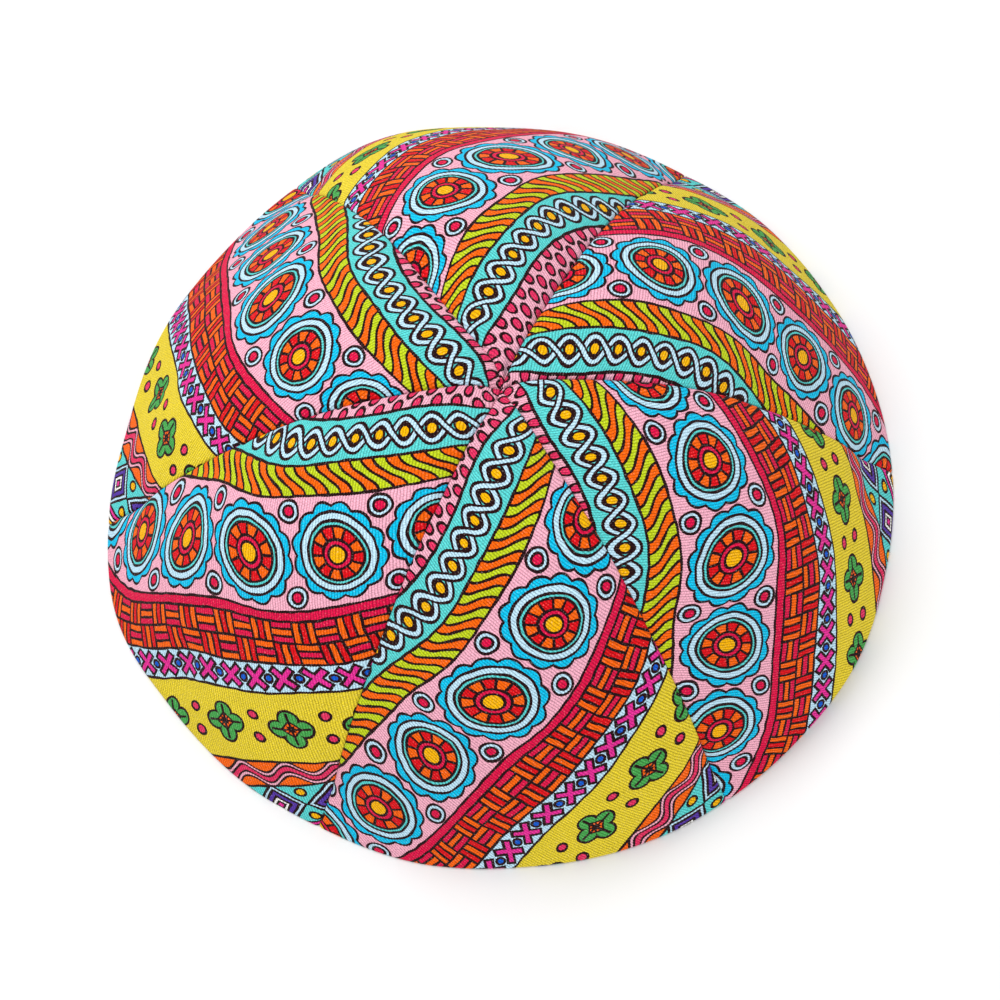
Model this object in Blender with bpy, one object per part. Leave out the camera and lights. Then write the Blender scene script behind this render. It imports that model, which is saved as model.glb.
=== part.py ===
"""A six-gore kippah of printed cotton twill, standing on its hem with the crown up.

Metres, +Z up, the middle of the rim at the origin, the front gore towards -Y.
Each gore is one cloth wall. It runs from a narrow tip at the crown down to a turned hem.
A place on a gore is its share of the way across, anticlockwise, and of the way out.
"""

import math
from collections import namedtuple

import bmesh
import bpy
from mathutils import Vector

# Driving sizes of the whole cap
RIM_RADIUS = 0.089
CROWN_HEIGHT = 0.0625
CLOTH = 0.0014
HEM_DEPTH = 0.010
HEM_TURN = 0.0008
SEAM_GAP = 0.0003
TIP_RADIUS = 0.0011

# How the height falls from the crown to the rim: 1 - out ** power, raised to a fullness.
# A gore stands fuller in its middle than along its seams.
SEAM_POWER = 2.3
SEAM_FULLNESS = 1.0
MIDDLE_POWER = 2.6
MIDDLE_FULLNESS = 0.90
SWELL_POWER = 2.2

# The dimple where the six tips meet, the puckered ring of seams round it, and the pull
# of each seam just above the hem
DIMPLE_DEPTH = 0.0030
DIMPLE_RADIUS = 0.0085
PUCKER_DEPTH = 0.0009
PUCKER_OUT = 0.24
PUCKER_SPREAD = 0.16
PUCKER_POWER = 4.0
PINCH_DEPTH = 0.0015
PINCH_HEIGHT = 0.009
PINCH_SPREAD = 0.006
PINCH_POWER = 6.0

# Mesh of one gore: its faces across and down, how much closer the rows lie near the rim,
# the step that a slope is read over, and the angle from which an edge is sharp
ACROSS = 12
DOWN = 26
CLOSER_NEAR_RIM = 1.5
SLOPE_STEP = 0.002
SHARP_DEG = 50.0

# The print's mean colour, and the roughness of plain cotton
PRINT_COLOUR = (0.38, 0.28, 0.24, 1.0)
PRINT_ROUGHNESS = 0.85

# One row a gore, anticlockwise from the right. seam_deg is where its right-hand seam meets
# the rim, lean_deg how far that seam turns on its way up to the crown, and puff how full
# the gore stands between its seams. The last four columns are the rim's reach, as shares
# of RIM_RADIUS, at that seam and at a quarter, half and three quarters of the gore.
Gore = namedtuple("Gore", "name seam_deg lean_deg puff at_seam quarter half three_quarters")
GORES = (
    Gore("gore_back_right", 2.4, 3.4, 0.95, 0.998, 0.998, 1.001, 1.008),
    Gore("gore_back", 61.3, 2.9, 1.15, 1.007, 1.018, 1.021, 1.037),
    Gore("gore_back_left", 122.6, -1.4, 0.75, 1.004, 0.979, 0.977, 0.972),
    Gore("gore_front_left", 185.9, -1.8, 1.10, 1.002, 1.028, 1.011, 1.007),
    Gore("gore_front", 243.4, -1.2, 1.00, 1.003, 1.008, 0.999, 1.000),
    Gore("gore_front_right", 303.9, -1.2, 1.05, 0.997, 0.997, 1.005, 0.995),
)
REACHES = [reach for gore in GORES for reach in gore[4:]]

# Soft dents pressed into the cloth: where they lie, round the cap and as a share of the
# way out, how deep they are, and how far they spread round and outwards
Dent = namedtuple("Dent", "turn_deg out depth spread_deg spread_out")
DENTS = (
    Dent(119.0, 0.36, 0.0016, 12.0, 0.12),
    Dent(246.0, 0.26, 0.0011, 14.0, 0.10),
    Dent(300.0, 0.20, 0.0009, 16.0, 0.08),
    Dent(166.0, 0.93, 0.0013, 4.0, 0.07),
    Dent(214.0, 0.95, 0.0014, 3.0, 0.06),
    Dent(357.0, 0.94, 0.0010, 3.5, 0.06),
)


def clear_scene():
    """Empties the scene of its objects."""
    for obj in list(bpy.data.objects):
        bpy.data.objects.remove(obj)


def smooth(share):
    """0 below 0, 1 above 1, and an even rise between."""
    share = min(max(share, 0.0), 1.0)
    return share * share * (3.0 - 2.0 * share)


def bell(distance, spread):
    """1 at no distance, fading over the spread."""
    return math.exp(-((distance / spread) ** 2))


def between(points, share):
    """The second of four even points at share 0, the third at share 1, on a smooth curve."""
    before, start, end, after = points
    rise_at_start = (end - before) / 2.0
    rise_at_end = (after - start) / 2.0
    square, cube = share**2, share**3
    return (
        start * (2.0 * cube - 3.0 * square + 1.0)
        + rise_at_start * (cube - 2.0 * square + share)
        + end * (3.0 * square - 2.0 * cube)
        + rise_at_end * (cube - square)
    )


def rim_radius(index, share):
    """The rim's radius at this share of the way across a gore."""
    quarters = share * 4.0
    whole = min(int(quarters), 3)
    near = [REACHES[(4 * index + whole + k) % len(REACHES)] for k in (-1, 0, 1, 2)]
    return RIM_RADIUS * between(near, quarters - whole)


def seam_angles(index, out):
    """Where a gore's two seams lie, in degrees, at this share of the way out."""
    right = GORES[index]
    left = GORES[(index + 1) % len(GORES)]
    full_turn = 360.0 if left.seam_deg < right.seam_deg else 0.0
    return (
        right.seam_deg + right.lean_deg * (1.0 - out),
        left.seam_deg + full_turn + left.lean_deg * (1.0 - out),
    )


def nearness_to_seam(share):
    """1 at either seam, falling to 0 in the middle of the gore."""
    return abs(2.0 * share - 1.0)


def dome_height(index, share, out):
    """The height of the smooth dome, before anything pulls at it."""
    swell = (1.0 - nearness_to_seam(share) ** SWELL_POWER) * GORES[index].puff
    power = SEAM_POWER + (MIDDLE_POWER - SEAM_POWER) * swell
    fullness = SEAM_FULLNESS + (MIDDLE_FULLNESS - SEAM_FULLNESS) * swell
    return CROWN_HEIGHT * max(1.0 - out**power, 0.0) ** fullness


def dent_depth(angle, out):
    """How deep the soft dents press at this angle and share of the way out."""
    depth = 0.0
    for dent in DENTS:
        turned = (angle - dent.turn_deg + 180.0) % 360.0 - 180.0
        depth += dent.depth * bell(turned, dent.spread_deg) * bell(out - dent.out, dent.spread_out)
    return depth


def outer_point(index, share, out):
    """The cloth's outer face: its angle in degrees, its radius and its height."""
    right, left = seam_angles(index, out)
    angle = right + (left - right) * share
    radius = rim_radius(index, share) * out
    height = dome_height(index, share, out)
    above_hem = smooth(height / HEM_DEPTH)
    seam = nearness_to_seam(share)
    pucker = PUCKER_DEPTH * bell(out - PUCKER_OUT, PUCKER_SPREAD) * seam**PUCKER_POWER
    pinch = PINCH_DEPTH * bell(height - PINCH_HEIGHT, PINCH_SPREAD) * seam**PINCH_POWER
    dent = dent_depth(angle, out)
    height -= DIMPLE_DEPTH * bell(radius, DIMPLE_RADIUS)
    height -= (pucker + dent * (1.0 - out)) * above_hem
    radius -= (pinch + dent * out) * above_hem
    return angle, radius, height


def wall_point(index, share, out, depth):
    """A point of the cloth: depth 0 is its outer face and depth 1 its inner face.

    The inner face lies square to the slope, and level with the rim at the very bottom.
    """
    angle, radius, height = outer_point(index, share, out)
    _, radius_above, height_above = outer_point(index, share, out - SLOPE_STEP)
    _, radius_below, height_below = outer_point(index, share, min(out + SLOPE_STEP, 1.0))
    run = radius_below - radius_above
    fall = height_above - height_below
    down = run / math.hypot(run, fall) * smooth(height / (3.0 * CLOTH))
    inwards = math.copysign(math.sqrt(1.0 - down**2), fall)
    thickness = CLOTH + HEM_TURN * smooth(1.0 - height / HEM_DEPTH)
    radius -= depth * thickness * inwards
    height = max(height - depth * thickness * down, 0.0)
    turn = math.radians(angle)
    return Vector((radius * math.cos(turn), radius * math.sin(turn), height))


def rim_middle():
    """The middle of the rim's box, from the point under the crown."""
    shares = [step / ACROSS for step in range(ACROSS)]
    rim = [wall_point(index, share, 1.0, 0.0) for index in range(len(GORES)) for share in shares]
    low = Vector([min(values) for values in zip(*rim)])
    high = Vector([max(values) for values in zip(*rim)])
    return (low + high) / 2.0


def grid_place(index, across, down):
    """The share across and out of a grid point, half a seam gap clear of each neighbour."""
    tip = TIP_RADIUS / RIM_RADIUS
    out = tip + (1.0 - tip) * (1.0 - (1.0 - down) ** CLOSER_NEAR_RIM)
    right, left = seam_angles(index, out)
    width = math.radians(left - right) * rim_radius(index, across) * out
    inset = SEAM_GAP / 2.0 / width
    return inset + (1.0 - 2.0 * inset) * across, out


def twill_material(name):
    """Cotton twill in the mean colour of its print."""
    material = bpy.data.materials.new(name)
    material.use_nodes = True
    shader = material.node_tree.nodes["Principled BSDF"]
    shader.inputs["Base Color"].default_value = PRINT_COLOUR
    shader.inputs["Roughness"].default_value = PRINT_ROUGHNESS
    shader.inputs["Metallic"].default_value = 0.0
    return material


def gore_object(index, middle, collection):
    """One gore: a flat grid, given a thickness of 1, then bent to its place in the cap."""
    gore = GORES[index]
    shape = bmesh.new()
    bmesh.ops.create_grid(shape, x_segments=ACROSS, y_segments=DOWN, size=0.5)
    skin = bmesh.ops.extrude_face_region(shape, geom=shape.faces[:])
    inner = [part for part in skin["geom"] if isinstance(part, bmesh.types.BMVert)]
    bmesh.ops.translate(shape, verts=inner, vec=(0.0, 0.0, 1.0))
    bmesh.ops.recalc_face_normals(shape, faces=shape.faces[:])
    for vertex in shape.verts:
        share, out = grid_place(index, vertex.co.x + 0.5, vertex.co.y + 0.5)
        vertex.co = wall_point(index, share, out, vertex.co.z) - middle
    mesh = bpy.data.meshes.new(gore.name)
    shape.to_mesh(mesh)
    shape.free()
    mesh.shade_smooth()
    mesh.set_sharp_from_angle(angle=math.radians(SHARP_DEG))
    mesh.materials.append(twill_material(gore.name + "_twill"))
    collection.objects.link(bpy.data.objects.new(gore.name, mesh))


def main():
    clear_scene()
    cap = bpy.data.collections.new("kippah")
    bpy.context.scene.collection.children.link(cap)
    middle = rim_middle()
    for index in range(len(GORES)):
        gore_object(index, middle, cap)


main()
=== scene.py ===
"""A kippah of six printed cotton twill gores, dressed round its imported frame."""

import math
from collections import namedtuple

import bmesh
import bpy
from mathutils import Matrix, Vector, noise


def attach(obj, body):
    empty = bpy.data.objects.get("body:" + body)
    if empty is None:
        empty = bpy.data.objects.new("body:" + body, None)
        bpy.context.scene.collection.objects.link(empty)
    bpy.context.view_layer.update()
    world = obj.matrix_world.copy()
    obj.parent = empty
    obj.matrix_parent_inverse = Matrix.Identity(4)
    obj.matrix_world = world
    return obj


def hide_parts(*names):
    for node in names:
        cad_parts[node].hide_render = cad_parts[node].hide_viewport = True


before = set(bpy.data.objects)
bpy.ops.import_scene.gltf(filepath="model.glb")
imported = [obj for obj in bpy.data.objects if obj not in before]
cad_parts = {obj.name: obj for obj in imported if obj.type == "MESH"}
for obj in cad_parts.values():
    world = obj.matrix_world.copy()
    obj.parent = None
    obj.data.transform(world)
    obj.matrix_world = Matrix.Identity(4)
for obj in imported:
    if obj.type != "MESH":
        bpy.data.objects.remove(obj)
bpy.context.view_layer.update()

# Printed cotton: the design
# The cloth is printed with bands of small hand-drawn ornaments in flat bright inks, each
# with a dark outline. Places on the cloth are in millimetres, along and across a band.


def linear(code):
    """An ink's colour for the shader, from its everyday hexadecimal code."""
    values = [int(code[place:place + 2], 16) / 255.0 for place in (0, 2, 4)]
    return (*[v / 12.92 if v <= 0.04045 else ((v + 0.055) / 1.055) ** 2.4 for v in values], 1.0)


PINK = linear("F2ADC1")
PALE_BLUE = linear("BEE2F4")
TURQUOISE = linear("58D0CE")
SKY = linear("08C0EA")
ROYAL = linear("0A5CD0")
VIOLET = linear("5636A2")
MAGENTA = linear("E62C96")
ROSE = linear("E22F60")
CRIMSON = linear("DE1048")
RED = linear("DE0C18")
ORANGE = linear("F96505")
GOLDEN = linear("F6B400")
YELLOW = linear("E4CC30")
LIME = linear("BED01C")
GREEN = linear("46A44E")
WHITE = linear("F7F5F2")
INK = linear("260C10")


def feed(entry, value):
    """Links a field to a node's entry, or sets a plain number or colour there."""
    if isinstance(value, Field):
        entry.id_data.links.new(value.socket, entry)
    else:
        entry.default_value = value


class Field:
    """A number or colour that changes over the cloth: one outlet of a shader node."""

    def __init__(self, socket):
        self.socket = socket

    def math(self, operation, *others):
        node = self.socket.id_data.nodes.new("ShaderNodeMath")
        node.operation = operation
        for entry, value in zip(node.inputs, (self, *others)):
            feed(entry, value)
        return Field(node.outputs[0])

    def __add__(self, other):
        return self.math("ADD", other)

    def __sub__(self, other):
        return self.math("SUBTRACT", other)

    def __mul__(self, other):
        return self.math("MULTIPLY", other)

    def __truediv__(self, other):
        return self.math("DIVIDE", other)

    def __abs__(self):
        return self.math("ABSOLUTE")

    def nearest(self, repeat):
        """How far the nearest whole repeat is."""
        return self.math("PINGPONG", repeat / 2.0)

    def odd(self, step):
        """1 in every second step, and 0 in the others."""
        return (self / step).math("FLOOR").nearest(2.0)

    def below(self, limit):
        return self.math("LESS_THAN", limit)

    def above(self, limit):
        return self.math("GREATER_THAN", limit)

    def lower(self, other):
        return self.math("MINIMUM", other)

    def higher(self, other):
        return self.math("MAXIMUM", other)


def away(x, y):
    """The straight distance of a place that lies x and y off."""
    return (x * x + y * y).math("SQRT")


def new_mix(*values):
    """A mix node in the tree that the fields among these values belong to."""
    tree = next(value.socket.id_data for value in values if isinstance(value, Field))
    return tree.nodes.new("ShaderNodeMix")


def chosen(mask, yes, no):
    """One number where the mask is 1, and the other where it is 0."""
    node = new_mix(mask)
    for number, value in ((0, mask), (2, no), (3, yes)):
        feed(node.inputs[number], value)
    return Field(node.outputs[0])


def painted(under, over, mask, blend="MIX"):
    """A coat of paint laid over another one where the mask is 1."""
    node = new_mix(under, over, mask)
    node.data_type = "RGBA"
    node.blend_type = blend
    for number, value in ((0, mask), (6, under), (7, over)):
        feed(node.inputs[number], value)
    return Field(node.outputs[2])


def nested(colour, outline, distance, *coats):
    """Shapes one inside the other, the largest first, each with its outline."""
    for reach, paint in coats:
        colour = painted(colour, paint, distance.below(reach))
        outline = abs(distance - reach).lower(outline)
    return colour, outline


# Each ornament gives its colour and how far its nearest outline is, which is FAR where it
# has none. DIAGONAL turns the sum or difference of two places into a distance on the slant.
FAR = 9.0
DIAGONAL = math.sqrt(0.5)


def crown_dots(along, across):
    """Dots in staggered rows."""
    step = 4.6
    even = away(along.nearest(step), across.nearest(step))
    staggered = away((along + step / 2.0).nearest(step), (across + step / 2.0).nearest(step))
    return nested(PINK, FAR, even.lower(staggered), (1.1, ROSE))


def guilloche(along, across):
    """Two strands that cross over and under each other, round golden eyes."""
    crossing, swing, half_strand = 5.6, 2.2, 0.62
    turn = along * (math.pi / crossing)
    wave = turn.math("COSINE") * swing
    slant = turn.math("SINE")
    square_on = (slant * slant * (swing * math.pi / crossing) ** 2 + 1.0).math("INVERSE_SQRT")
    first = abs(across - wave) * square_on
    second = abs(across + wave) * square_on
    first_on_top = slant.above(0.0)
    top = chosen(first_on_top, first, second)
    under = chosen(first_on_top, second, first)
    colour, outline = nested(TURQUOISE, FAR, away(along.nearest(crossing), across), (1.15, GOLDEN))
    colour = painted(colour, PALE_BLUE, under.below(half_strand))
    outline = (abs(under - half_strand) + top.below(half_strand) * FAR).lower(outline)
    return nested(colour, outline, top, (half_strand, PALE_BLUE))


def rope(along, across):
    """Strands that cross the band in a slanting S, as on a twisted rope."""
    half_band, strand_width = 3.0, 2.6
    turn = across * (math.pi / 2.0 / half_band)
    strand = along + turn.math("SINE") * half_band
    slant = turn.math("COSINE") * (math.pi / 2.0)
    square_on = (slant * slant + 1.0).math("INVERSE_SQRT")
    colour = painted(ORANGE, LIME, strand.odd(strand_width))
    return colour, strand.nearest(strand_width) * square_on


def roundels(along, across):
    """Large wheels with scalloped rims, and small rings in the corners between them."""
    step, spokes, wheel, hub = 19.0, 12, 5.2, 2.9
    turned = along.math("WRAP", step / 2.0, -step / 2.0)
    radius = away(turned, across)
    angle = across.math("ARCTAN2", turned)
    scallop = radius - abs((angle * (spokes / 2.0)).math("SINE")) * 0.9
    colour, outline = nested(PINK, FAR, scallop, (8.5, SKY))
    colour, outline = nested(colour, outline, radius, (7.6, PALE_BLUE), (6.1, TURQUOISE), (wheel, ORANGE))
    sector = angle * (spokes / math.tau)
    in_wheel = radius.below(wheel)
    colour = painted(colour, RED, sector.odd(1.0) * in_wheel)
    spoke = sector.nearest(1.0) * radius * (math.tau / spokes)
    outline = chosen(in_wheel, spoke.lower(outline), outline)
    outline = chosen(radius.below(hub), FAR, outline)
    colour, outline = nested(colour, outline, radius, (hub, CRIMSON), (1.8, GOLDEN))
    corner = away((along + step / 2.0).nearest(step), abs(across) - 7.8)
    return nested(colour, outline, corner, (2.1, PALE_BLUE), (1.1, CRIMSON))


def plain_stripe(along, across):
    """A narrow stripe with nothing on it."""
    return CRIMSON, FAR


def basketweave(along, across):
    """Square blocks of three bars, which lie along and across by turns."""
    block, bar_width = 4.5, 1.5
    turned = (along.odd(block) + across.odd(block)).odd(1.0)
    bar = chosen(turned, along, across)
    end = chosen(turned, across, along)
    colour = painted(ORANGE, painted(CRIMSON, RED, turned), bar.odd(bar_width))
    return colour, bar.nearest(bar_width).lower(end.nearest(block))


def saltires(along, across):
    """Slanting crosses with beads between them."""
    step = 6.0
    x, y = along.nearest(step), abs(across)
    arm = (abs(x - y) * DIAGONAL).higher((x + y) * DIAGONAL - 2.05)
    colour, outline = nested(PALE_BLUE, FAR, arm, (0.7, MAGENTA))
    bead = away((along + step / 2.0).nearest(step), across)
    return nested(colour, outline, bead, (0.8, ROYAL))


def quatrefoils(along, across):
    """Four-lobed shapes with a rib in each lobe, and small beads between them."""
    step = 14.0
    x, y = along.nearest(step), abs(across)
    length, width = x.higher(y), x.lower(y)
    colour, outline = nested(YELLOW, FAR, away(length - 2.3, width), (1.9, GREEN))
    rib = width.higher(length - 3.4)
    colour, outline = nested(colour, rib.lower(outline), x + y, (1.9, ORANGE))
    bead = away((along + step / 2.0).nearest(step), y - 2.6)
    return nested(colour, outline, bead, (1.0, ROSE))


def waves(along, across):
    """One rippling ribbon in two colours."""
    ripple = abs(across - (along * (math.tau / 9.0)).math("SINE") * 1.3)
    return nested(ORANGE, FAR, ripple, (1.75, PINK), (0.75, ROSE))


def diamonds(along, across):
    """Diamonds one inside the other, with beads in the corners."""
    step = 11.0
    x, y = along.nearest(step), abs(across)
    coats = ((3.75, PALE_BLUE), (2.8, VIOLET), (1.6, WHITE), (0.7, MAGENTA))
    colour, outline = nested(TURQUOISE, FAR, (x + y) * DIAGONAL, *coats)
    bead = away((along + step / 2.0).nearest(step), y - 3.3)
    return nested(colour, outline, bead, (1.0, GOLDEN))


def squares(along, across):
    """Squares one inside the other."""
    side = along.nearest(9.0).higher(abs(across))
    return nested(MAGENTA, FAR, side, (3.4, WHITE), (2.3, GOLDEN), (1.1, ROYAL))


def rings(along, across):
    """Rings, with beads where four of them leave room."""
    step, row = 7.0, 9.0
    ring = away(along.nearest(step), across.nearest(row))
    bead = away((along + step / 2.0).nearest(step), (across + row / 2.0).nearest(row))
    colour, outline = nested(SKY, FAR, ring, (2.7, WHITE), (1.4, SKY))
    return nested(colour, outline, bead, (1.1, LIME))


# Each band's ornament, and where it ends from the crown's right-hand seam
BANDS = (
    (crown_dots, 6.0),
    (guilloche, 14.0),
    (rope, 20.0),
    (roundels, 41.0),
    (plain_stripe, 43.0),
    (basketweave, 52.0),
    (saltires, 58.0),
    (quatrefoils, 74.0),
    (waves, 80.0),
    (diamonds, 90.0),
    (squares, 99.0),
    (rings, 108.0),
)

# The bands' size, slant and bend, the band that keeps its true length, and how the bands
# waver. Then the drawing hand: how far and how often it drifts and shakes, in grains to the
# millimetre, half the width of its line, and how much of that changes with pen pressure.
DESIGN_SCALE = 1.16
BAND_SLANT = math.radians(30.0)
BAND_RADIUS = 300.0
TRUE_BAND = 50.0
WAVER_LENGTH, WAVER_WIDTH = 58.0, 1.2
DRIFT_REACH, DRIFT_GRAIN = 2.0, 0.06
SHAKE_REACH, SHAKE_GRAIN = 0.26, 0.45
LINE_HALF_WIDTH = 0.27
PEN_PRESSURE, PRESSURE_GRAIN = 0.14, 0.35

# The cloth's map is in metres. The twill's lines lie this many millimetres apart, and the
# ink's edge steps a little from line to line.
MILLIMETRES = 1000.0
WALE_PITCH = 0.62
WALE_STEP = 0.2


def new_group(name, entries, outlets):
    """An empty node group, with its entries as fields and the node that takes its outlets."""
    group = bpy.data.node_groups.new(name, "ShaderNodeTree")
    for label, kind in entries:
        group.interface.new_socket(name=label, in_out="INPUT", socket_type="NodeSocket" + kind)
    for label, kind in outlets:
        group.interface.new_socket(name=label, in_out="OUTPUT", socket_type="NodeSocket" + kind)
    given = group.nodes.new("NodeGroupInput").outputs
    return group, [Field(given[label]) for label, _ in entries], group.nodes.new("NodeGroupOutput")


def placed(tree, group, *values):
    """The outlets of a group that is placed in a tree with these values."""
    node = tree.nodes.new("ShaderNodeGroup")
    node.node_tree = group
    for entry, value in zip(node.inputs, values):
        feed(entry, value)
    return [Field(outlet) for outlet in node.outputs]


def noise_field(vector, scale, detail=0.0, outlet="Fac"):
    """A soft noise over the cloth, this many grains to the millimetre."""
    node = vector.socket.id_data.nodes.new("ShaderNodeTexNoise")
    node.noise_dimensions = "2D"
    feed(node.inputs["Vector"], vector)
    feed(node.inputs["Scale"], scale)
    feed(node.inputs["Detail"], detail)
    return Field(node.outputs[outlet])


def vector_math(operation, first, second):
    """A place on the cloth, moved or made larger by a second value."""
    node = first.socket.id_data.nodes.new("ShaderNodeVectorMath")
    node.operation = operation
    feed(node.inputs[0], first)
    feed(node.inputs["Scale" if operation == "SCALE" else 1], second)
    return Field(node.outputs[0])


def parts_of(vector):
    """The two numbers of a place on the cloth."""
    node = vector.socket.id_data.nodes.new("ShaderNodeSeparateXYZ")
    feed(node.inputs[0], vector)
    return Field(node.outputs[0]), Field(node.outputs[1])


def hand_drawn(place, reach, scale):
    """The place, moved a little as an unsteady hand would."""
    shake = noise_field(place, scale, outlet="Color")
    shake = vector_math("SUBTRACT", shake, (0.5, 0.5, 0.5))
    return vector_math("ADD", place, vector_math("SCALE", shake, reach))


def band_group(draw):
    """One band's ornament as a node group."""
    entries = (("Along", "Float"), ("Across", "Float"))
    outlets = (("Color", "Color"), ("Outline", "Float"))
    group, given, drawn = new_group(draw.__name__, entries, outlets)
    for entry, value in zip(drawn.inputs, draw(*given)):
        feed(entry, value)
    return group


def print_group():
    """The whole printed design."""
    group, (cloth,), drawn = new_group("ornamental_print", (("Cloth", "Vector"),), (("Color", "Color"),))
    flat_u, flat_v = parts_of(vector_math("SCALE", cloth, MILLIMETRES))
    on_wale = ((flat_u - flat_v) * (DIAGONAL / WALE_PITCH)).nearest(1.0)
    place = vector_math("SCALE", cloth, MILLIMETRES / DESIGN_SCALE)
    place = hand_drawn(place, DRIFT_REACH, DRIFT_GRAIN)
    place = hand_drawn(place, SHAKE_REACH, SHAKE_GRAIN)
    u, v = parts_of(place)
    straight = v * math.cos(BAND_SLANT) - u * math.sin(BAND_SLANT)
    from_middle = u * math.cos(BAND_SLANT) + v * math.sin(BAND_SLANT) + BAND_RADIUS
    along = straight.math("ARCTAN2", from_middle) * (BAND_RADIUS + TRUE_BAND)
    across = away(straight, from_middle) - BAND_RADIUS
    waver = (along * (math.tau / WAVER_LENGTH)).math("SINE") * WAVER_WIDTH
    across = across + waver + on_wale * WALE_STEP
    colour, outline, start = None, None, 0.0
    for draw, end in BANDS:
        middle = (start + end) / 2.0
        band_colour, band_outline = placed(group, band_group(draw), along, across - middle)
        if colour is None:
            colour, outline = band_colour, band_outline
        else:
            in_band = across.above(start)
            colour = painted(colour, band_colour, in_band)
            outline = chosen(in_band, band_outline, outline).lower(abs(across - start))
        start = end
    pressure = noise_field(place, PRESSURE_GRAIN) * PEN_PRESSURE
    line = outline.below(pressure + (LINE_HALF_WIDTH - PEN_PRESSURE / 2.0))
    feed(drawn.inputs[0], painted(colour, INK, line))
    return group


# Printed cotton: the twill
# A 2/1 twill shows as fine slanting lines, 0.62 mm apart, of short raised stitches. The
# outside takes the print, and the wrong side is pale cotton with the print faintly through.

# The weave is in millimetres, and its unevenness in grains to the millimetre. The shades add up to
# the cloth's light and dark: the weave's share is painted shade in its grooves and painted light on
# its raised stitches, and the unevenness and mottle are the yarn's own random tone. The crumple is
# in grains to the metre, and its depth and the weave's are in metres.
STITCH_LENGTH = 0.58
LINE_WANDER, WANDER_GRAIN = 0.5, 0.8
KNUCKLE = 0.25
UNEVEN_GRAIN, MOTTLE_GRAIN, FLECK_GRAIN = 2.4, 0.16, 2.6
FLECK_START, FLECK_STRENGTH = 0.62, 0.5
WEAVE_PAINTED_SHADE, UNEVEN_SHADE, MOTTLE_SHADE, LEAST_SHADE = 0.54, 0.6, 0.1, 0.19
WRONG_SIDE = linear("E6DDCB")
FLECK = linear("FBF3E8")
SHOWS_THROUGH = 0.16
CRUMPLE_GRAIN, CRUMPLE_DEPTH = 140.0, 0.0005
WEAVE_DEPTH = 0.00009


def twill_group():
    """The weave's height, its light and dark (painted groove shade and a random tone), and its pale
    flecks.
    """
    outlets = (("Height", "Float"), ("Shade", "Float"), ("Fleck", "Float"))
    group, (cloth,), drawn = new_group("cotton_twill", (("Cloth", "Vector"),), outlets)
    place = vector_math("SCALE", cloth, MILLIMETRES)
    u, v = parts_of(place)
    wander = noise_field(place, WANDER_GRAIN, 1.0) * LINE_WANDER
    wale = (u - v) * (DIAGONAL / WALE_PITCH) + wander
    stitch = (u + v) * (DIAGONAL / STITCH_LENGTH) + wale.math("FLOOR") * 0.5
    groove = (wale * math.tau).math("COSINE") * 0.5 + 0.5
    ridge = groove * groove * -1.0 + 1.0
    knuckle = (stitch * math.tau).math("COSINE") * KNUCKLE + (1.0 - KNUCKLE)
    height = ridge * knuckle
    uneven = noise_field(place, UNEVEN_GRAIN, 1.0) * UNEVEN_SHADE
    mottle = noise_field(place, MOTTLE_GRAIN, 2.0) * MOTTLE_SHADE
    # Painted shade and light: the grooves are painted darker and the raised stitches lighter, over the
    # random unevenness and mottle.
    painted_weave_shade_and_tone = height * WEAVE_PAINTED_SHADE + uneven + mottle + LEAST_SHADE
    fleck = ((noise_field(place, FLECK_GRAIN) - FLECK_START) * FLECK_STRENGTH).higher(0.0) * ridge
    for entry, value in zip(drawn.inputs, (height, painted_weave_shade_and_tone, fleck)):
        feed(entry, value)
    return group


PRINT = print_group()
TWILL = twill_group()


def raised(tree, height, distance, normal=None):
    """The cloth's normal where this height stands out by a distance."""
    node = tree.nodes.new("ShaderNodeBump")
    node.inputs["Distance"].default_value = distance
    feed(node.inputs["Height"], height)
    if normal:
        feed(node.inputs["Normal"], normal)
    return Field(node.outputs["Normal"])


def twill_material(name, ground):
    """Cotton twill in the print, or in its wrong side where a ground colour is given."""
    material = bpy.data.materials.new(name)
    material.use_nodes = True
    tree = material.node_tree
    finish = tree.nodes["Principled BSDF"].inputs
    finish["Roughness"].default_value = 0.88
    finish["Specular IOR Level"].default_value = 0.05
    finish["Sheen Weight"].default_value = 0.04
    finish["Sheen Roughness"].default_value = 0.5
    cut = tree.nodes.new("ShaderNodeUVMap")
    cut.uv_map = "cloth"
    cloth = Field(cut.outputs["UV"])
    colour = placed(tree, PRINT, cloth)[0]
    height, painted_weave_shade_and_tone, fleck = placed(tree, TWILL, cloth)
    if ground:
        colour = painted(ground, colour, SHOWS_THROUGH)
    colour = painted(colour, FLECK, fleck)
    # The print is darkened by the twill's painted groove shade and its random tone.
    painted_shade_and_tone = tree.nodes.new("ShaderNodeCombineColor")
    for entry in painted_shade_and_tone.inputs:
        feed(entry, painted_weave_shade_and_tone)
    feed(finish["Base Color"], painted(colour, Field(painted_shade_and_tone.outputs[0]), 1.0, "MULTIPLY"))
    crumple = tree.nodes.new("ShaderNodeTexNoise")
    crumple.inputs["Scale"].default_value = CRUMPLE_GRAIN
    crumple.inputs["Detail"].default_value = 2.0
    feed(crumple.inputs["Vector"], Field(tree.nodes.new("ShaderNodeTexCoord").outputs["Object"]))
    soft = raised(tree, Field(crumple.outputs["Fac"]), CRUMPLE_DEPTH)
    feed(finish["Normal"], raised(tree, height, WEAVE_DEPTH, soft))
    return material


OUTSIDE = twill_material("printed_twill_outside", None)
INSIDE = twill_material("twill_wrong_side", WRONG_SIDE)

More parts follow.
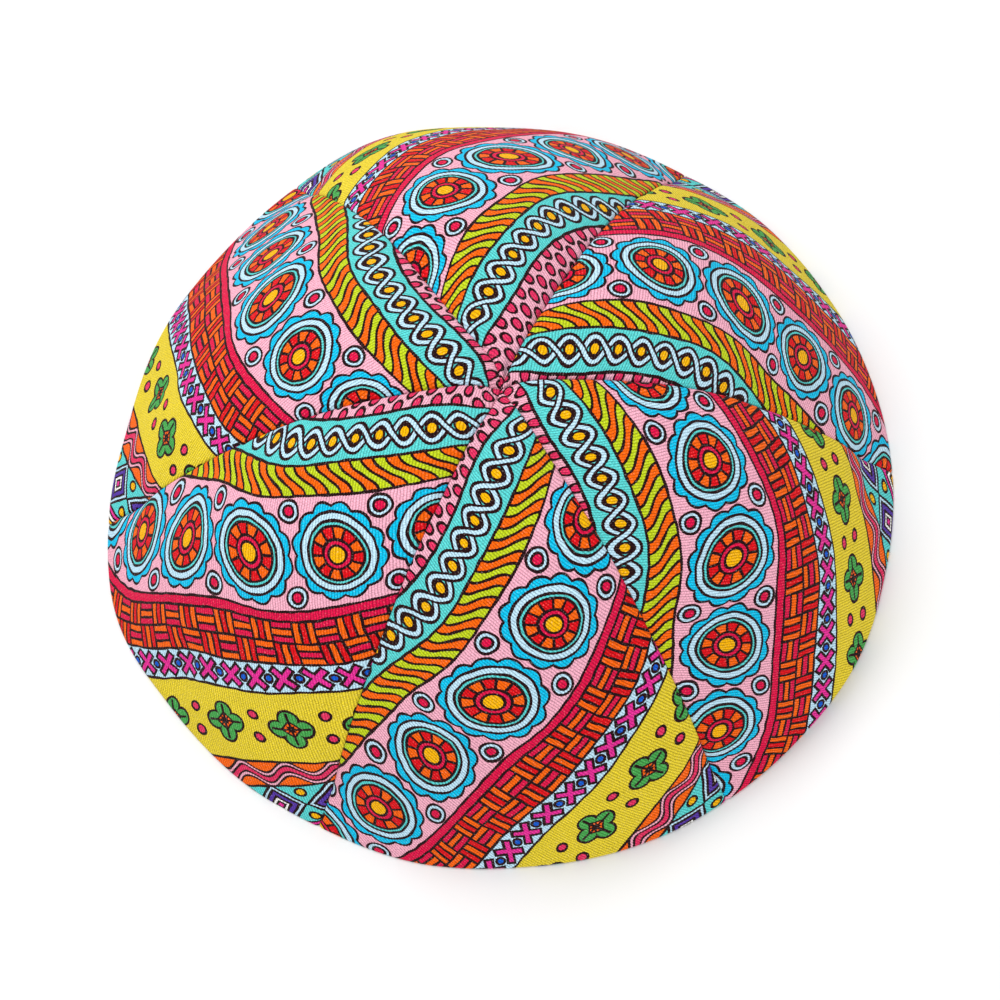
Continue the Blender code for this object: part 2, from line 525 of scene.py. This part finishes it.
# Six gores
# Each gore is one tapering panel of the twill, cut with the print on a slant. They are sewn
# together from the inside, tip to tip at the crown, and turned under for 10 mm at the hem.
RIM_RADIUS = 0.089
CROWN_HEIGHT = 0.0625
CLOTH = 0.0014
HEM_DEPTH = 0.010
HEM_TURN = 0.0008
HEM_STEP = 0.0005
SEAM_GAP = 0.00004
TIP_RADIUS = 0.00015

# How the height falls from the crown to the rim: 1 - out ** power, raised to a fullness.
# A gore stands fuller in its middle than along its seams.
SEAM_POWER = 2.3
SEAM_FULLNESS = 1.0
MIDDLE_POWER = 2.6
MIDDLE_FULLNESS = 0.90
SWELL_POWER = 2.2

# The dimple where the six tips meet and the small pit in its middle, the puckered ring of
# seams round it, and the pull of each seam just above the hem
DIMPLE_DEPTH = 0.0030
DIMPLE_RADIUS = 0.0085
PIT_DEPTH = 0.0010
PIT_RADIUS = 0.0026
PUCKER_DEPTH = 0.0009
PUCKER_OUT = 0.24
PUCKER_SPREAD = 0.16
PUCKER_POWER = 4.0
PINCH_DEPTH = 0.0015
PINCH_HEIGHT = 0.009
PINCH_SPREAD = 0.006
PINCH_POWER = 6.0

# How near the crown the seams stray and the cloth is gathered, as a share of the way out,
# and the soft unevenness of the cloth: how high its swells stand and how far apart
CROWN_REACH = 0.09
GATHER_HEIGHT, GATHER_SPACING = 0.0005, 0.0035
BROAD_SWELL, BROAD_SPACING = 0.0007, 0.026
SMALL_SWELL, SMALL_SPACING = 0.00026, 0.011
SWELL_AT_HEM = 0.3

# How the cloth rolls down into a seam, the small puckers that the stitches pull beside it,
# the seam allowance pressed flat inside, and the hem, which stands out a little above the
# rounded fold that it rests on
ROLL_RADIUS = 0.0011
ROLL_DEPTH = 0.00045
STITCH_PUCKER = 0.00016
STITCH_REACH = 0.0028
STITCH_SPACING = 0.0033
ALLOWANCE = 0.0062
ALLOWANCE_THICKNESS = 0.00045
ALLOWANCE_EDGE = 0.0007
FOLD_RADIUS = 0.0006
HEM_SWELL = 0.0004
HEM_SWELL_HEIGHT = 0.005

# Where the columns lie across a gore and the rows down it, as the share reached and the
# number of them, the step that a slope is read over, and the points that measure the rim
COLUMN_STOPS = ((0.013, 6), (0.03, 4), (0.086, 7), (0.914, 64), (0.97, 7), (0.987, 4), (1.0, 6))
ROW_STOPS = ((0.15, 30), (0.918, 70), (0.935, 7), (0.99, 9), (1.0, 7))
SLOPE_STEP = 0.002
RIM_POINTS = 12

# One row a gore, anticlockwise from the right: the CAD node, where its right-hand seam
# meets the rim, how far that seam turns on its way up and how far it strays at the crown,
# how full the gore stands, the rim's reach at that seam and at each quarter of the gore,
# and how the pattern piece was laid on the print: across and up in mm, and turned.
Gore = namedtuple("Gore", "node seam_deg lean_deg stray_deg puff at_seam quarter half three_quarters cut")
GORES = (
    Gore("gore_back_right", 2.4, 3.4, 12.0, 0.95, 0.998, 0.998, 1.001, 1.008, (2.0, 3.0, 1.0)),
    Gore("gore_back", 61.3, 2.9, 6.0, 1.15, 1.007, 1.018, 1.021, 1.037, (-2.5, -2.0, -1.5)),
    Gore("gore_back_left", 122.6, -1.4, -24.0, 0.75, 1.004, 0.979, 0.977, 0.972, (1.0, 5.0, 2.0)),
    Gore("gore_front_left", 185.9, -1.8, -9.0, 1.10, 1.002, 1.028, 1.011, 1.007, (-1.0, 1.5, -1.0)),
    Gore("gore_front", 243.4, -1.2, 9.0, 1.00, 1.003, 1.008, 0.999, 1.000, (2.5, -1.0, 1.5)),
    Gore("gore_front_right", 303.9, -1.2, -2.0, 1.05, 0.997, 0.997, 1.005, 0.995, (0.0, 4.0, -2.0)),
)
REACHES = [
    reach
    for gore in GORES
    for reach in (gore.at_seam, gore.quarter, gore.half, gore.three_quarters)
]

# Soft dents pressed into the cloth, and last the tuck beside the crown: where they lie,
# round the cap and as a share of the way out, how deep they are, and how far they spread
Dent = namedtuple("Dent", "turn_deg out depth spread_deg spread_out")
DENTS = (
    Dent(119.0, 0.36, 0.0016, 12.0, 0.12),
    Dent(246.0, 0.26, 0.0011, 14.0, 0.10),
    Dent(300.0, 0.20, 0.0009, 16.0, 0.08),
    Dent(166.0, 0.93, 0.0013, 4.0, 0.07),
    Dent(214.0, 0.95, 0.0014, 3.0, 0.06),
    Dent(357.0, 0.94, 0.0010, 3.5, 0.06),
    Dent(74.0, 0.055, 0.0013, 9.0, 0.03),
)


def smooth(share):
    """0 below 0, 1 above 1, and an even rise between."""
    share = min(max(share, 0.0), 1.0)
    return share * share * (3.0 - 2.0 * share)


def bell(distance, spread):
    """1 at no distance, fading over the spread."""
    return math.exp(-((distance / spread) ** 2))


def between(points, share):
    """The second of four even points at share 0, the third at share 1, on a smooth curve."""
    before, start, end, after = points
    rise_at_start = (end - before) / 2.0
    rise_at_end = (after - start) / 2.0
    square, cube = share**2, share**3
    return (
        start * (2.0 * cube - 3.0 * square + 1.0)
        + rise_at_start * (cube - 2.0 * square + share)
        + end * (3.0 * square - 2.0 * cube)
        + rise_at_end * (cube - square)
    )


def rim_radius(index, share):
    """The rim's radius at this share of the way across a gore."""
    quarters = share * 4.0
    whole = min(int(quarters), 3)
    near = [REACHES[(4 * index + whole + k) % len(REACHES)] for k in (-1, 0, 1, 2)]
    return RIM_RADIUS * between(near, quarters - whole)


def seam_angles(index, out):
    """Where a gore's two seams lie, in degrees, at this share of the way out."""
    right = GORES[index]
    left = GORES[(index + 1) % len(GORES)]
    full_turn = 360.0 if left.seam_deg < right.seam_deg else 0.0
    at_crown = bell(out, CROWN_REACH)
    return (
        right.seam_deg + right.lean_deg * (1.0 - out) + right.stray_deg * at_crown,
        left.seam_deg + full_turn + left.lean_deg * (1.0 - out) + left.stray_deg * at_crown,
    )


def gore_width(index, share, out):
    """The width of a gore at this share of the way out."""
    right, left = seam_angles(index, out)
    return math.radians(left - right) * rim_radius(index, share) * out


def dent_depth(angle, out):
    """How deep the soft dents press at this angle and share of the way out."""
    depth = 0.0
    for dent in DENTS:
        turned = (angle - dent.turn_deg + 180.0) % 360.0 - 180.0
        depth += dent.depth * bell(turned, dent.spread_deg) * bell(out - dent.out, dent.spread_out)
    return depth


def outer_point(index, share, out):
    """The cloth's outer face: its angle in degrees, its radius and its height."""
    right, left = seam_angles(index, out)
    angle = right + (left - right) * share
    radius = rim_radius(index, share) * out
    seam = abs(2.0 * share - 1.0)
    swell = (1.0 - seam**SWELL_POWER) * GORES[index].puff
    power = SEAM_POWER + (MIDDLE_POWER - SEAM_POWER) * swell
    fullness = SEAM_FULLNESS + (MIDDLE_FULLNESS - SEAM_FULLNESS) * swell
    height = CROWN_HEIGHT * max(1.0 - out**power, 0.0) ** fullness
    above_hem = smooth(height / HEM_DEPTH)
    pucker = PUCKER_DEPTH * bell(out - PUCKER_OUT, PUCKER_SPREAD) * seam**PUCKER_POWER
    pinch = PINCH_DEPTH * bell(height - PINCH_HEIGHT, PINCH_SPREAD) * seam**PINCH_POWER
    dent = dent_depth(angle, out)
    height -= DIMPLE_DEPTH * bell(radius, DIMPLE_RADIUS) + PIT_DEPTH * bell(radius, PIT_RADIUS)
    height -= (pucker + dent * (1.0 - out)) * above_hem
    radius -= (pinch + dent * out) * above_hem
    return angle, radius, height


def swell_height(spot, out):
    """How high the cloth's soft unevenness stands, with its gathers at the crown."""
    broad = BROAD_SWELL * noise.noise(spot / BROAD_SPACING)
    small = SMALL_SWELL * noise.noise(spot / SMALL_SPACING)
    gather = GATHER_HEIGHT * noise.noise(spot / GATHER_SPACING) * bell(out, CROWN_REACH)
    return broad + small + gather


def fold_inset(height):
    """How far the round fold of the hem draws in just above the floor."""
    rest = max(FOLD_RADIUS - height, 0.0)
    return FOLD_RADIUS - math.sqrt(max(FOLD_RADIUS**2 - rest**2, 0.0))


def cloth_pair(index, share, out):
    """The outer and the inner point of the cloth at one place of a gore."""
    angle, radius, height = outer_point(index, share, out)
    _, radius_above, height_above = outer_point(index, share, max(out - SLOPE_STEP, 0.0))
    _, radius_below, height_below = outer_point(index, share, min(out + SLOPE_STEP, 1.0))
    run = radius_below - radius_above
    fall = height_above - height_below
    down = run / math.hypot(run, fall) * smooth(height / (3.0 * CLOTH))
    inwards = math.copysign(math.sqrt(1.0 - down**2), fall)
    turn = math.radians(angle)
    spot = Vector((radius * math.cos(turn), radius * math.sin(turn), height))

    to_seam = min(share, 1.0 - share) * gore_width(index, share, out)
    side = -1.0 if share < 0.5 else 1.0
    rest = max(1.0 - to_seam / ROLL_RADIUS, 0.0)
    roll = ROLL_DEPTH * (1.0 - math.sqrt(1.0 - rest * rest))
    wave = noise.noise(Vector((index * 7.0 + side, spot.length / STITCH_SPACING, 0.0)))
    pull = STITCH_PUCKER * (0.5 + wave) * math.exp(-to_seam / STITCH_REACH)
    softness = SWELL_AT_HEM + (1.0 - SWELL_AT_HEM) * smooth(height / HEM_DEPTH)
    outer = roll + (pull - swell_height(spot, out)) * softness
    outer -= HEM_SWELL * smooth(1.0 - height / HEM_SWELL_HEIGHT)
    hem_turn = HEM_TURN * smooth((HEM_DEPTH - height) / HEM_STEP + 0.5)
    allowance = ALLOWANCE_THICKNESS * smooth((ALLOWANCE - to_seam) / ALLOWANCE_EDGE)
    inner = outer - roll + CLOTH + hem_turn + allowance * smooth((height - HEM_DEPTH) / HEM_STEP)
    inset = fold_inset(height)
    pair = []
    for depth in (outer + inset, inner - inset):
        reach = radius - depth * inwards
        level = max(height - depth * down, 0.0)
        pair.append(Vector((reach * math.cos(turn), reach * math.sin(turn), level)))
    return pair


def spread(start, stops):
    """Places from the start through each stop, evenly spaced between two stops."""
    places = [start]
    for end, count in stops:
        begin = places[-1]
        places += [begin + (end - begin) * step / count for step in range(1, count + 1)]
    return places


def rim_middle():
    """The middle of the rim's box, from the point under the crown."""
    rim = []
    for index in range(len(GORES)):
        for step in range(RIM_POINTS):
            share = step / RIM_POINTS
            turn = math.radians(outer_point(index, share, 1.0)[0])
            radius = rim_radius(index, share)
            rim.append((radius * math.cos(turn), radius * math.sin(turn), 0.0))
    low = Vector([min(values) for values in zip(*rim)])
    high = Vector([max(values) for values in zip(*rim)])
    return (low + high) / 2.0


COLUMNS = spread(0.0, COLUMN_STOPS)
ROWS = spread(TIP_RADIUS / RIM_RADIUS, ROW_STOPS)
MIDDLE = rim_middle()


def lengths_down(index):
    """How far each row lies from the crown, measured on the cloth down the gore's middle."""
    lengths = []
    total, before = 0.0, (0.0, outer_point(index, 0.5, 0.0)[2])
    for out in ROWS:
        _, radius, height = outer_point(index, 0.5, out)
        total += math.hypot(radius - before[0], height - before[1])
        before = (radius, height)
        lengths.append(total)
    return lengths


def share_across(index, column, row):
    """A column's share of the way across, half a seam gap clear of each neighbour."""
    inset = SEAM_GAP / 2.0 / gore_width(index, COLUMNS[column], ROWS[row])
    return inset + (1.0 - 2.0 * inset) * COLUMNS[column]


def cut_place(index, share, out, length):
    """Where this place of the gore lay on the printed cloth before it was cut."""
    across, up, turned = GORES[index].cut
    flat = Vector(((share - 0.5) * gore_width(index, share, out), length, 0.0))
    laid = Matrix.Rotation(math.radians(turned), 3, "Z") @ flat
    return laid + Vector((across, up, 0.0)) / MILLIMETRES


def gore_mesh(index, lengths):
    """One gore: a flat slab of cloth from a grid, laid on the print, then bent to its place."""
    shape = bmesh.new()
    bmesh.ops.create_grid(shape, x_segments=len(COLUMNS) - 1, y_segments=len(ROWS) - 1, size=0.5)
    skin = bmesh.ops.extrude_face_region(shape, geom=shape.faces[:])
    inner = [part for part in skin["geom"] if isinstance(part, bmesh.types.BMVert)]
    bmesh.ops.translate(shape, verts=inner, vec=(0.0, 0.0, 1.0))
    bmesh.ops.recalc_face_normals(shape, faces=shape.faces[:])

    places, shares, pairs = {}, {}, {}
    for vertex in shape.verts:
        column = round((vertex.co.x + 0.5) * (len(COLUMNS) - 1))
        row = round((vertex.co.y + 0.5) * (len(ROWS) - 1))
        places[vertex] = column, row
        if (column, row) not in pairs:
            shares[column, row] = share_across(index, column, row)
            pairs[column, row] = cloth_pair(index, shares[column, row], ROWS[row])

    hem_row = next(row for row, out in enumerate(ROWS) if outer_point(index, 0.0, out)[2] < HEM_DEPTH)
    cloth_map = shape.loops.layers.uv.new("cloth")
    for face in shape.faces:
        inside = all(vertex.co.z > 0.5 for vertex in face.verts)
        turned_under = inside and min(places[vertex][1] for vertex in face.verts) >= hem_row
        face.material_index = 1 if inside and not turned_under else 0
        face.smooth = True
        for loop in face.loops:
            column, row = places[loop.vert]
            length = 2.0 * lengths[-1] - lengths[row] if turned_under else lengths[row]
            loop[cloth_map].uv = cut_place(index, shares[column, row], ROWS[row], length).xy
    for vertex in shape.verts:
        outer, inner = pairs[places[vertex]]
        vertex.co = (inner if vertex.co.z > 0.5 else outer) - MIDDLE

    mesh = bpy.data.meshes.new("twill_" + GORES[index].node)
    shape.to_mesh(mesh)
    shape.free()
    mesh.materials.append(OUTSIDE)
    mesh.materials.append(INSIDE)
    return mesh


for index, gore in enumerate(GORES):
    lengths = lengths_down(index)
    mesh = gore_mesh(index, lengths)
    piece = bpy.data.objects.new(mesh.name, mesh)
    bpy.context.scene.collection.objects.link(piece)
    widths = [gore_width(index, 0.5, out) for out in ROWS]
    area = sum(
        (widths[row] + widths[row - 1]) / 2.0 * (lengths[row] - lengths[row - 1])
        for row in range(1, len(ROWS))
    )
    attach(piece, "root")
    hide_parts(gore.node)

# The floor
# A plain white tabletop, which isn't part of the kippah.
FLOOR_REACH = 4.0
floor_shape = bmesh.new()
bmesh.ops.create_grid(floor_shape, x_segments=1, y_segments=1, size=FLOOR_REACH)
floor_mesh = bpy.data.meshes.new("floor")
floor_shape.to_mesh(floor_mesh)
floor_shape.free()
white_top = bpy.data.materials.new("white_tabletop")
white_top.use_nodes = True
top_finish = white_top.node_tree.nodes["Principled BSDF"].inputs
top_finish["Base Color"].default_value = (0.8, 0.8, 0.8, 1.0)
top_finish["Roughness"].default_value = 0.9
top_finish["Specular IOR Level"].default_value = 0.0
floor_mesh.materials.append(white_top)
floor = bpy.data.objects.new("floor", floor_mesh)
bpy.context.scene.collection.objects.link(floor)

# Light
# A long narrow softbox stands high behind the cap to the left, and a wide white card low in
# front to the right fills the shaded side, in a bright white room. Both face the cap.
Lamp = namedtuple("Lamp", "name watts width height turn_deg rise_deg distance")
LAMPS = (
    Lamp("softbox", 13.4, 1.5, 0.3, 138.0, 56.0, 1.2),
    Lamp("white_card", 44.1, 4.2, 1.08, 305.0, 12.0, 3.0),
)
room = bpy.data.worlds.new("white_room")
bpy.context.scene.world = room
room.use_nodes = True
room_light = room.node_tree.nodes["Background"].inputs
room_light["Color"].default_value = (1.0, 1.0, 1.0, 1.0)
room_light["Strength"].default_value = 0.7
for lamp in LAMPS:
    light = bpy.data.lights.new(lamp.name, "AREA")
    light.shape = "RECTANGLE"
    light.energy = lamp.watts
    light.size = lamp.width
    light.size_y = lamp.height
    turn, rise = math.radians(lamp.turn_deg), math.radians(lamp.rise_deg)
    level = lamp.distance * math.cos(rise)
    stand = bpy.data.objects.new(lamp.name, light)
    stand.location = (level * math.cos(turn), level * math.sin(turn), lamp.distance * math.sin(rise))
    stand.rotation_euler = (-stand.location).to_track_quat("-Z", "Y").to_euler()
    bpy.context.scene.collection.objects.link(stand)
bpy.context.scene.view_settings.view_transform = "Standard"

# Camera
# It looks down at the cap from in front, 69 degrees above the floor, as the photograph does,
# and aims a little lower and further left than the point under the crown.
EYE_DISTANCE = 0.850
EYE_RISE = math.radians(68.8)
AIM_LOWER = 0.00266
AIM_LEFT = 0.0003
UNDER_CROWN = -MIDDLE
backwards = Vector((0.0, -math.cos(EYE_RISE), math.sin(EYE_RISE)))
upwards = Vector((0.0, math.sin(EYE_RISE), math.cos(EYE_RISE)))
aim = UNDER_CROWN - upwards * AIM_LOWER - Vector((AIM_LEFT, 0.0, 0.0))
camera = bpy.data.cameras.new("camera")
camera.lens = 134.7
camera.sensor_width = 36.0
camera.clip_start = 0.05
camera_stand = bpy.data.objects.new("camera", camera)
camera_stand.location = UNDER_CROWN + backwards * EYE_DISTANCE
camera_stand.rotation_euler = (aim - camera_stand.location).to_track_quat("-Z", "Y").to_euler()
bpy.context.scene.collection.objects.link(camera_stand)
bpy.context.scene.camera = camera_stand
